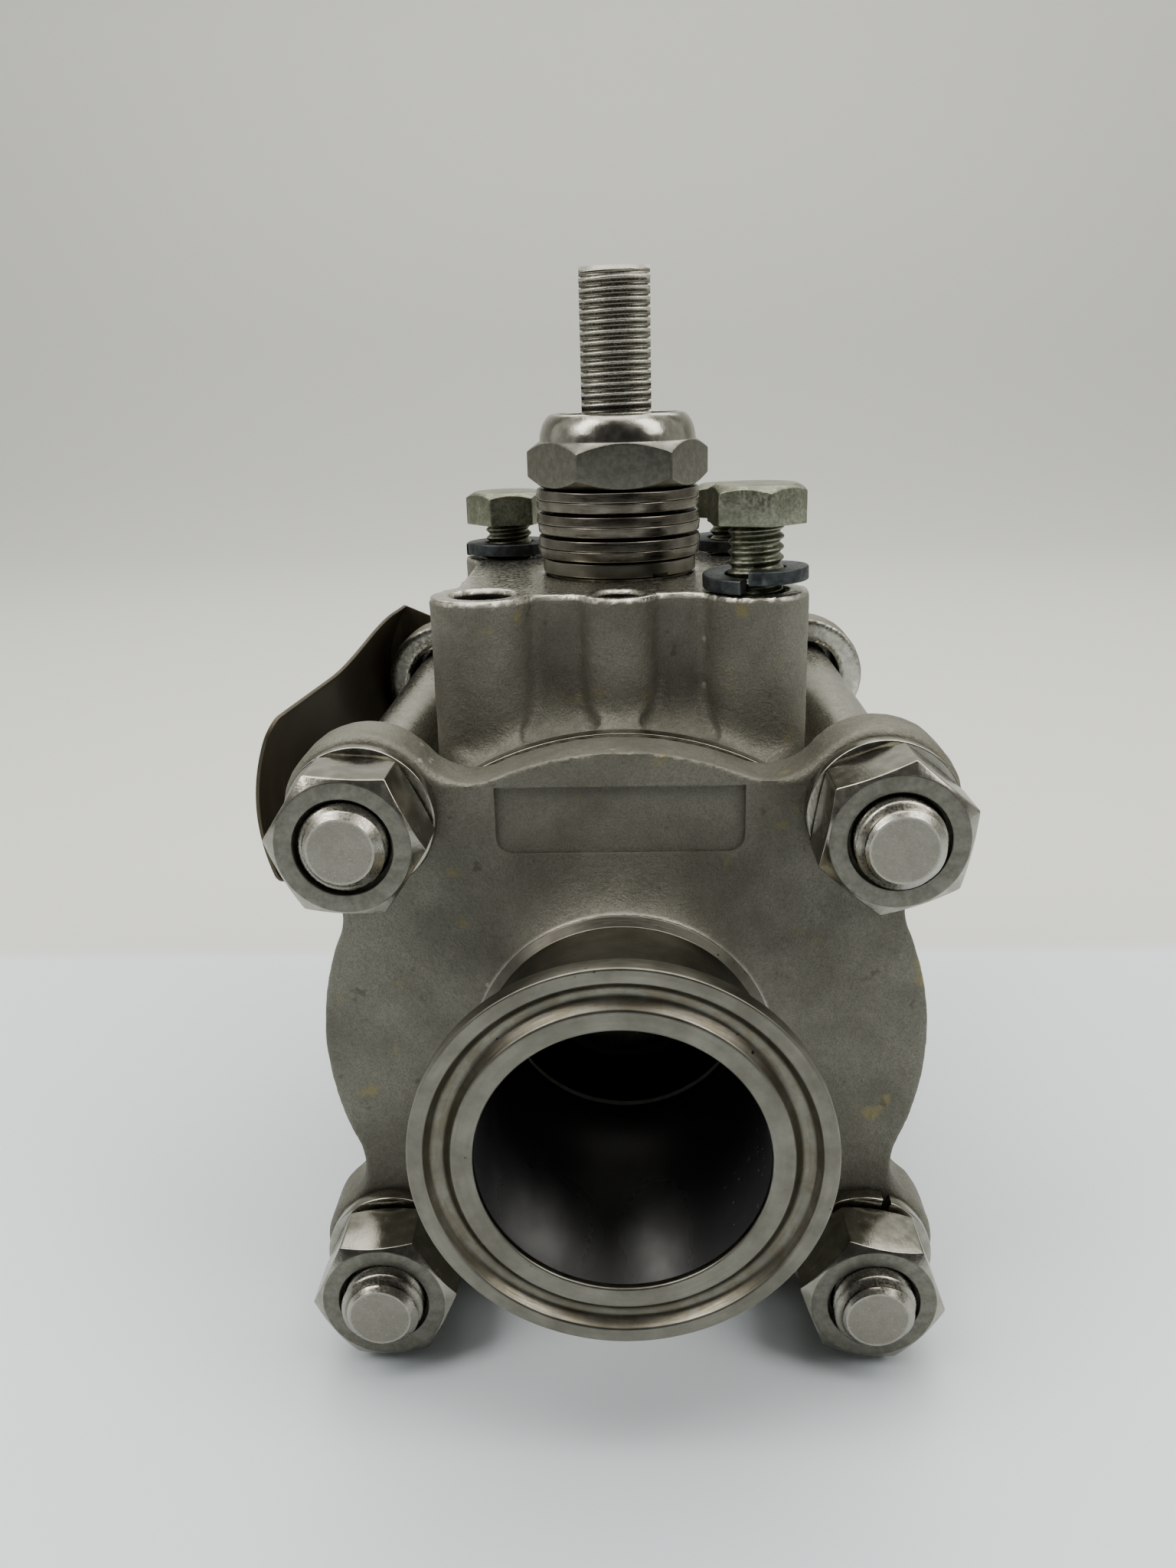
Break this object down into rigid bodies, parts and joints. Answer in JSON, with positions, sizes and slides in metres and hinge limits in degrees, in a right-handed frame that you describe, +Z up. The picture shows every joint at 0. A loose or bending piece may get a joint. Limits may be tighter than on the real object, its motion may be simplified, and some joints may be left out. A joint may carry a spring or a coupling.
{
  "type": "ball valve",
  "caption": "Three-piece full-bore stainless ball valve with clamp ferrule ends, tie bolts and a bare double-D stem above an actuator mounting pad.",
  "frame": {"origin": "centre of the ball, where the flow axis meets the stem axis", "axes": "+Y along the flow axis to the rear clamp ferrule, +Z up the stem, +X to the right seen from the front ferrule"},
  "size_m": [0.0956, 0.14, 0.1459],
  "materials": {
    "cast_stainless": "blasted casting, satin, with turned faces",
    "turned_stainless": "turned",
    "polished_stainless": "bright",
    "spring_steel": "smooth, slightly dark",
    "zinc_plated": "yellowish zinc plate, dull",
    "dark_steel": "dull dark grey",
    "plate_steel": "dark, semi-gloss, streaked",
    "ptfe": "waxy white",
    "filled_ptfe": "dark filled PTFE, smooth",
    "nylon": "moulded"
  },
  "bodies": {
    "valve_body": {"body": "cast_stainless", "end_fitting_front": "cast_stainless", "end_fitting_rear": "cast_stainless", "seat_front": "filled_ptfe", "seat_rear": "filled_ptfe", "body_seal_front": "ptfe", "body_seal_rear": "ptfe", "stem_thrust_washer": "ptfe", "stem_packing_ring_1": "ptfe", "stem_packing_ring_2": "ptfe", "stem_packing_ring_3": "ptfe", "gland_follower": "turned_stainless", "tie_bolt_upper_left": "polished_stainless", "tie_bolt_upper_right": "polished_stainless", "tie_bolt_lower_left": "polished_stainless", "tie_bolt_lower_right": "polished_stainless", "tie_nut_upper_left": "polished_stainless", "tie_nut_upper_right": "polished_stainless", "tie_nut_lower_left": "polished_stainless", "tie_nut_lower_right": "polished_stainless", "tie_lock_washer_upper_left": "polished_stainless", "tie_lock_washer_upper_right": "polished_stainless", "tie_lock_washer_lower_left": "polished_stainless", "tie_lock_washer_lower_right": "polished_stainless", "actuator_bolt_front_right": "zinc_plated", "actuator_bolt_rear_left": "zinc_plated", "actuator_bolt_rear_right": "zinc_plated", "actuator_lock_washer_front_right": "dark_steel", "actuator_lock_washer_rear_left": "dark_steel", "actuator_lock_washer_rear_right": "dark_steel", "side_plate": "plate_steel"},
    "stem_assembly": {"stem": "turned_stainless", "spring_washer_1": "spring_steel", "spring_washer_2": "spring_steel", "spring_washer_3": "spring_steel", "spring_washer_4": "spring_steel", "spring_washer_5": "spring_steel", "spring_washer_6": "spring_steel", "stem_nut": "polished_stainless", "stem_nut_insert": "nylon"},
    "ball": {"ball": "polished_stainless"}
  },
  "joints": [
    {"name": "stem_turn", "type": "hinge", "parent": "valve_body", "child": "stem_assembly", "pos_m": [0, 0, 0], "axis": [0, 0, 1], "range_deg": [0, 90]},
    {"name": "ball_turn", "type": "hinge", "parent": "valve_body", "child": "ball", "pos_m": [0, 0, 0], "axis": [0, 0, 1], "range_deg": [0, 90]}
  ],
  "couplings": [
    {"joint": "ball_turn", "follows": "stem_turn", "ratio": 1}
  ]
}
